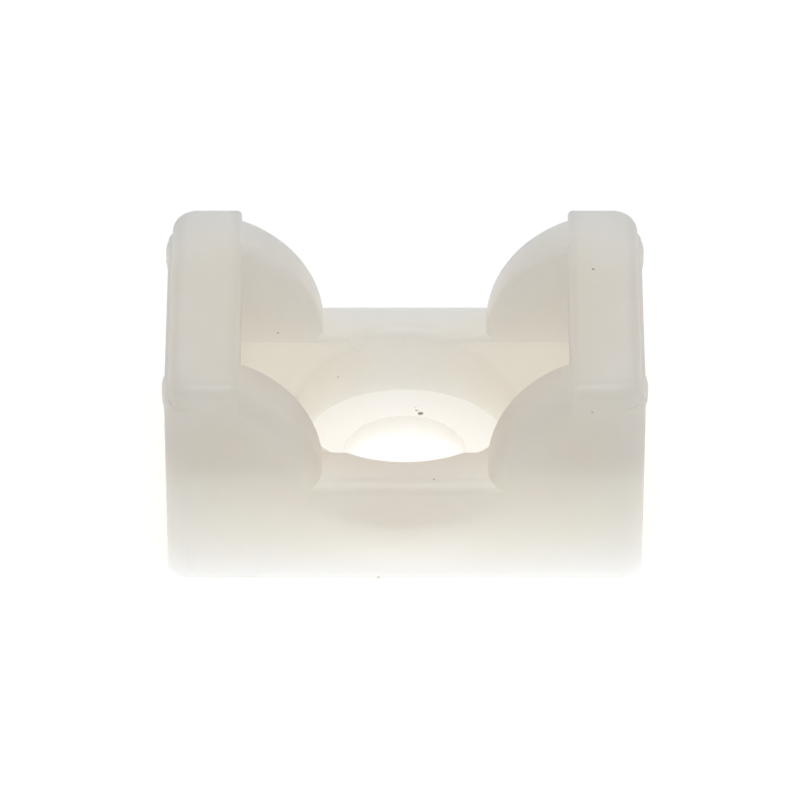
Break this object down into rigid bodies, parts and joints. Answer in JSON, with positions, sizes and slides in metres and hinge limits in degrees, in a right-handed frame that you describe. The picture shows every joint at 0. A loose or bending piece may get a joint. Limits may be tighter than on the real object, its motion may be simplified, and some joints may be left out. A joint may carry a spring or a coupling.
{
  "type": "cable tie mount",
  "caption": "Screw-fixed saddle mount for a cable tie: a small nylon block with rounded cheeks, a strap way through both end walls and a sunk screw hole.",
  "frame": {"origin": "middle of the flat mounting face, on the axis of the screw hole", "axes": "+X along the cable tie's way, from one end wall to the other; +Y along the cable, from front to back; +Z out of the mounting face"},
  "size_m": [0.0202, 0.0132, 0.0099],
  "materials": {
    "nylon": "natural off-white nylon, as moulded"
  },
  "bodies": {
    "root": {"tie_mount": "nylon"}
  },
  "joints": []
}
